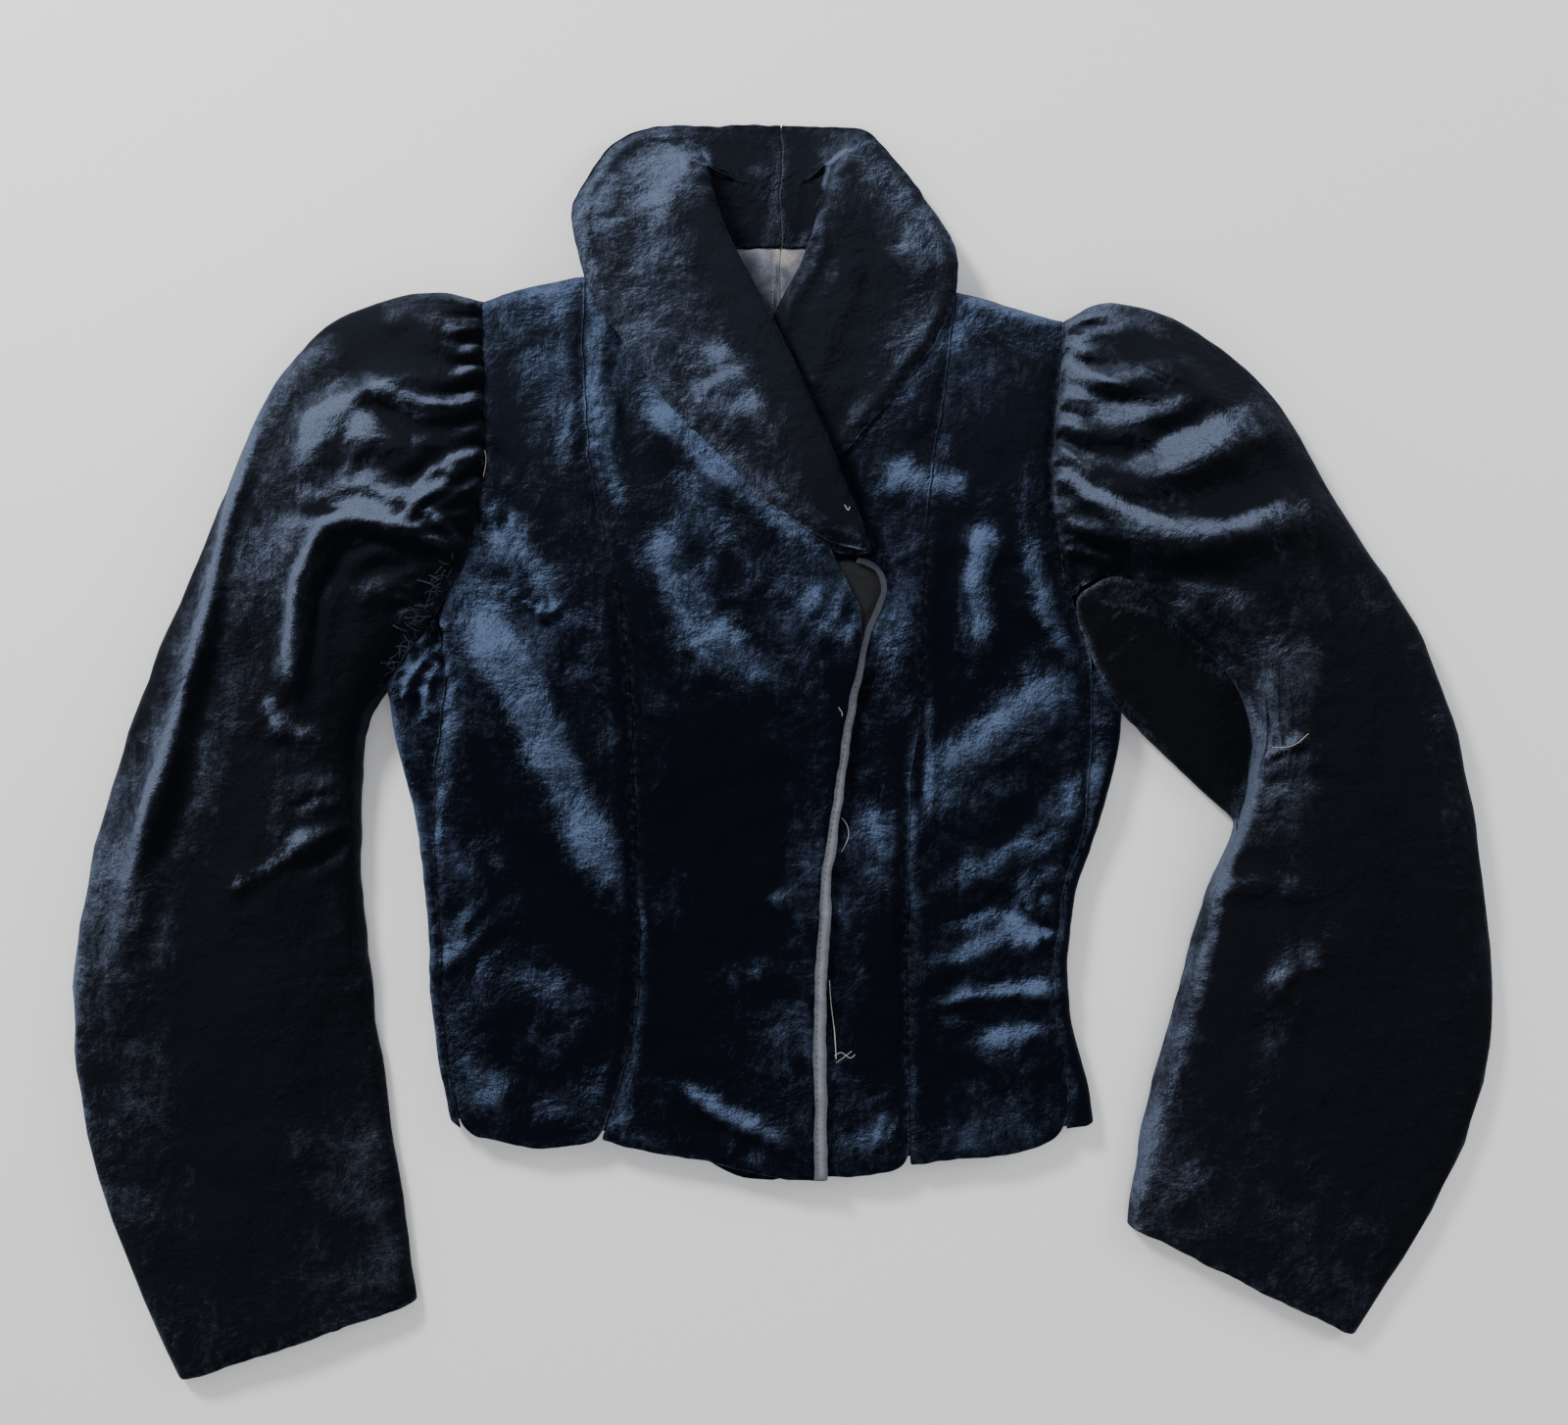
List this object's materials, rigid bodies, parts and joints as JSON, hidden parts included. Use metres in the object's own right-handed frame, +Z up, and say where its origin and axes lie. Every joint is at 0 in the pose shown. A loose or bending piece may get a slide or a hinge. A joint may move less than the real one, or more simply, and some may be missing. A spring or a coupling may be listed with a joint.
{
  "type": "velvet jacket",
  "caption": "Waist-length dark velvet jacket laid flat, front up, with a shawl collar, gathered sleeves and a taped front edge.",
  "frame": {"origin": "middle of the jacket's outline, on the surface it lies on", "axes": "+X to the wearer's left, +Y from the hem to the collar, +Z up from the surface"},
  "size_m": [0.8382, 0.7406, 0.0532],
  "materials": {
    "velvet": "silk velvet with a crushed nap",
    "tape": "grey twill tape",
    "facing": "dull black cloth",
    "lining": "polished cotton"
  },
  "bodies": {
    "root": {"back_right": "velvet", "back_left": "velvet", "side_right": "velvet", "side_left": "velvet", "front_right_side": "velvet", "front_right_centre": "velvet", "front_left_side": "velvet", "front_left_centre": "velvet", "sleeve_right_upper": "velvet", "sleeve_right_under": "velvet", "sleeve_left_upper": "velvet", "sleeve_left_under": "velvet", "collar_right": "velvet", "collar_left": "velvet", "edge_tape": "tape", "front_right_facing": "facing", "back_lining_right": "lining", "back_lining_left": "lining"}
  },
  "joints": []
}
